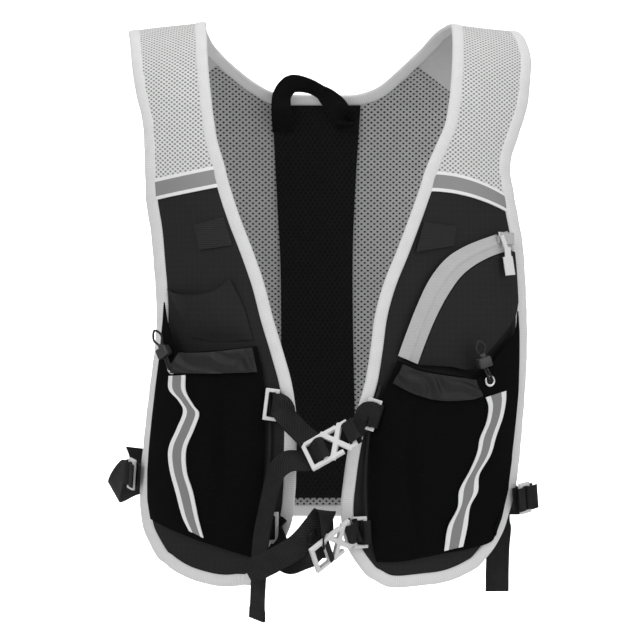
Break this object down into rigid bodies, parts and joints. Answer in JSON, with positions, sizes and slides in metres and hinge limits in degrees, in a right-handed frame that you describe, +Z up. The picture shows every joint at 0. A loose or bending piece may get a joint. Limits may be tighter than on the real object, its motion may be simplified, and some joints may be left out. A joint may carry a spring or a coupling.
{
  "type": "hydration pack",
  "caption": "Sleeveless running vest pack with mesh back and shoulders, front bottle pockets, a reservoir sleeve, sternum straps with hook buckles and side straps.",
  "frame": {"origin": "midway between the shoulders at the top of the shoulder yokes' inner face, where they rest on the wearer", "axes": "+Z up the wearer, +Y towards the wearer's back, so the front faces -Y, and +X towards the wearer's left"},
  "size_m": [0.3648, 0.2987, 0.5163],
  "materials": {
    "black_cloth": "black ripstop and stretch cloth",
    "grey_mesh": "open grey mesh",
    "black_mesh": "open black mesh",
    "reflective_cloth": "grey reflective cloth",
    "pale_binding": "pale woven binding",
    "black_webbing": "black woven webbing",
    "pale_plastic": "pale moulded plastic",
    "dark_plastic": "dark moulded plastic",
    "bright_metal": "bright metal"
  },
  "bodies": {
    "root": {"back_binding_left": "pale_binding", "back_binding_right": "pale_binding", "back_panel": "grey_mesh", "bottle_pocket_left": "black_cloth", "bottle_pocket_right": "black_cloth", "chest_pocket_right": "black_cloth", "cord_lock_left": "dark_plastic", "cord_lock_right": "dark_plastic", "edge_binding_left": "pale_binding", "edge_binding_right": "pale_binding", "elastic_patch_left": "black_webbing", "elastic_patch_right": "black_webbing", "eyelet_left": "bright_metal", "eyelet_right": "bright_metal", "front_panel_left": "black_cloth", "front_panel_right": "black_cloth", "grab_handle": "black_webbing", "mouth_band_left": "black_cloth", "mouth_band_right": "black_cloth", "neck_binding": "pale_binding", "outer_binding_left": "pale_binding", "outer_binding_right": "pale_binding", "pocket_cord_left": "black_webbing", "pocket_cord_right": "black_webbing", "reservoir_sleeve": "black_cloth", "shoulder_strip_left": "reflective_cloth", "shoulder_strip_right": "reflective_cloth", "shoulder_yoke_left": "grey_mesh", "shoulder_yoke_right": "grey_mesh", "side_ring_left": "pale_plastic", "side_ring_right": "pale_plastic", "side_strap_left": "black_webbing", "side_strap_right": "black_webbing", "side_tab_left": "black_webbing", "side_tab_right": "black_webbing", "spine_panel": "black_mesh", "sternum_buckle_lower": "pale_plastic", "sternum_buckle_upper": "pale_plastic", "sternum_strap_lower_left": "black_webbing", "sternum_strap_lower_right": "black_webbing", "sternum_strap_upper_left": "black_webbing", "sternum_strap_upper_right": "black_webbing", "sternum_tail_lower_right": "black_webbing", "sternum_tail_upper_right": "black_webbing", "strap_rail_left": "black_webbing", "strap_rail_right": "black_webbing", "strap_ring_lower_left": "pale_plastic", "strap_ring_lower_right": "pale_plastic", "strap_ring_upper_left": "pale_plastic", "strap_ring_upper_right": "pale_plastic", "wavy_strip_left": "reflective_cloth", "wavy_strip_right": "reflective_cloth", "zip_pocket": "black_cloth", "zip_pull": "pale_plastic", "zip_slider": "bright_metal", "zip_tape": "pale_binding"}
  },
  "joints": []
}
